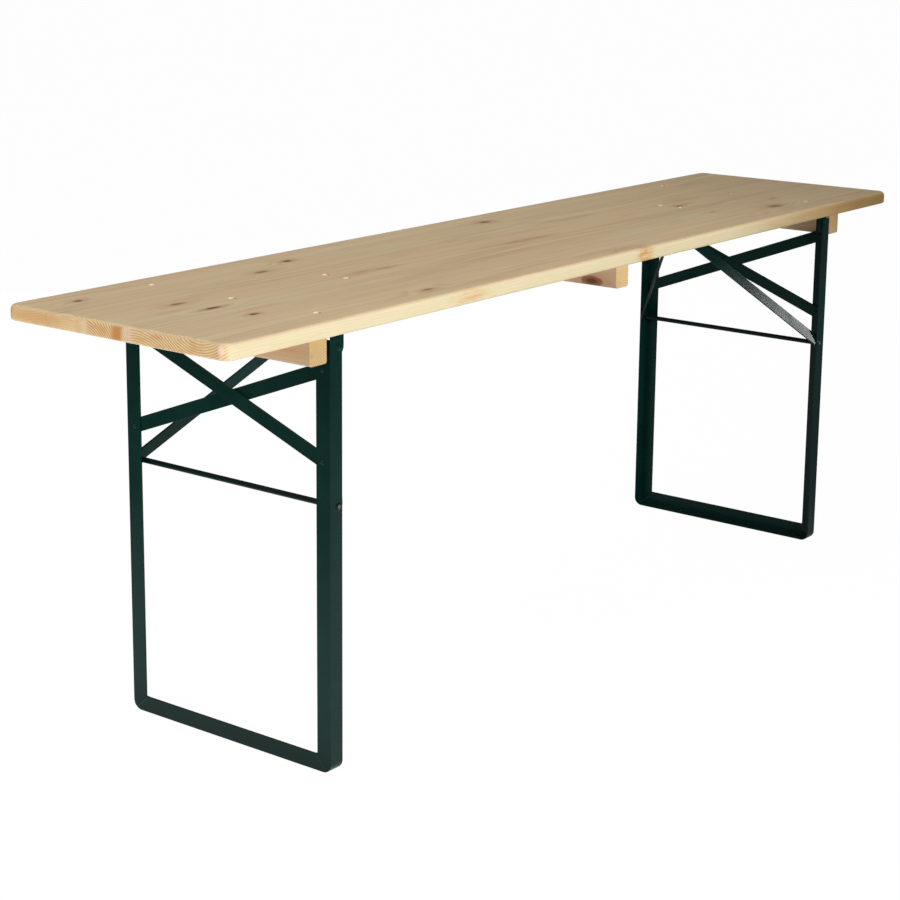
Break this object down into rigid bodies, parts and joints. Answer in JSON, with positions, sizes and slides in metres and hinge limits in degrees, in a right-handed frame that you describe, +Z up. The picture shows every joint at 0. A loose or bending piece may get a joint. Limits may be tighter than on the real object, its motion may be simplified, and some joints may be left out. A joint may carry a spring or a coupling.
{
  "type": "beer garden table",
  "caption": "Long folding beer garden table: pine top on battens, green angle-iron legs that fold inward on hinge rails, each with crossed braces, a rod and a hooked V stay.",
  "frame": {"origin": "on the floor under the middle of the top", "axes": "+X along the table to its right end, +Y across it to its back long side, +Z up"},
  "size_m": [2.2, 0.5, 0.78],
  "materials": {
    "pine_board": "satin lacquer",
    "pine_batten": "planed",
    "green_paint": "semi-gloss",
    "zinc": "zinc plated"
  },
  "bodies": {
    "table": {"batten_screws_left": "zinc", "batten_screws_middle": "zinc", "batten_screws_right": "zinc", "hinge_bolt_back_left": "zinc", "hinge_bolt_back_right": "zinc", "hinge_bolt_front_left": "zinc", "hinge_bolt_front_right": "zinc", "hinge_bolt_middle_left": "zinc", "hinge_bolt_middle_right": "zinc", "hinge_nut_back_left": "zinc", "hinge_nut_back_right": "zinc", "hinge_nut_front_left": "zinc", "hinge_nut_front_right": "zinc", "hinge_nut_middle_left": "zinc", "hinge_nut_middle_right": "zinc", "hinge_rail_left": "green_paint", "hinge_rail_right": "green_paint", "keeper_bolt_back_left": "zinc", "keeper_bolt_back_right": "zinc", "keeper_bolt_front_left": "zinc", "keeper_bolt_front_right": "zinc", "keeper_channel_left": "green_paint", "keeper_channel_right": "green_paint", "keeper_nut_back_left": "zinc", "keeper_nut_back_right": "zinc", "keeper_nut_front_left": "zinc", "keeper_nut_front_right": "zinc", "keeper_plate_left": "green_paint", "keeper_plate_right": "green_paint", "left_end_batten": "pine_batten", "middle_batten": "pine_batten", "right_end_batten": "pine_batten", "table_top": "pine_board"},
    "left_leg": {"brace_falling_left": "green_paint", "brace_rising_left": "green_paint", "brace_rivets_high_left": "green_paint", "brace_rivets_low_left": "green_paint", "foot_bar_left": "green_paint", "hinge_pivot_back_left": "green_paint", "hinge_pivot_front_left": "green_paint", "stay_rod_left": "green_paint", "upright_back_left": "green_paint", "upright_front_left": "green_paint"},
    "right_leg": {"brace_falling_right": "green_paint", "brace_rising_right": "green_paint", "brace_rivets_high_right": "green_paint", "brace_rivets_low_right": "green_paint", "foot_bar_right": "green_paint", "hinge_pivot_back_right": "green_paint", "hinge_pivot_front_right": "green_paint", "stay_rod_right": "green_paint", "upright_back_right": "green_paint", "upright_front_right": "green_paint"},
    "left_stay": {"stay_arm_back_left": "green_paint", "stay_arm_front_left": "green_paint", "stay_pin_left": "green_paint"},
    "right_stay": {"stay_arm_back_right": "green_paint", "stay_arm_front_right": "green_paint", "stay_pin_right": "green_paint"}
  },
  "joints": [
    {"name": "left_leg_fold", "type": "hinge", "parent": "table", "child": "left_leg", "pos_m": [-0.825, 0, 0.73], "axis": [0, -1, 0], "range_deg": [0, 90]},
    {"name": "left_stay_swing", "type": "hinge", "parent": "left_leg", "child": "left_stay", "pos_m": [-0.828, 0, 0.463], "axis": [0, 1, 0], "range_deg": [0, 136.53]},
    {"name": "right_leg_fold", "type": "hinge", "parent": "table", "child": "right_leg", "pos_m": [0.825, 0, 0.73], "axis": [0, 1, 0], "range_deg": [0, 90]},
    {"name": "right_stay_swing", "type": "hinge", "parent": "right_leg", "child": "right_stay", "pos_m": [0.828, 0, 0.463], "axis": [0, -1, 0], "range_deg": [0, 136.53]}
  ],
  "couplings": [
    {"joint": "left_stay_swing", "follows": "left_leg_fold", "ratio": 1.5169},
    {"joint": "right_stay_swing", "follows": "right_leg_fold", "ratio": 1.5169}
  ]
}
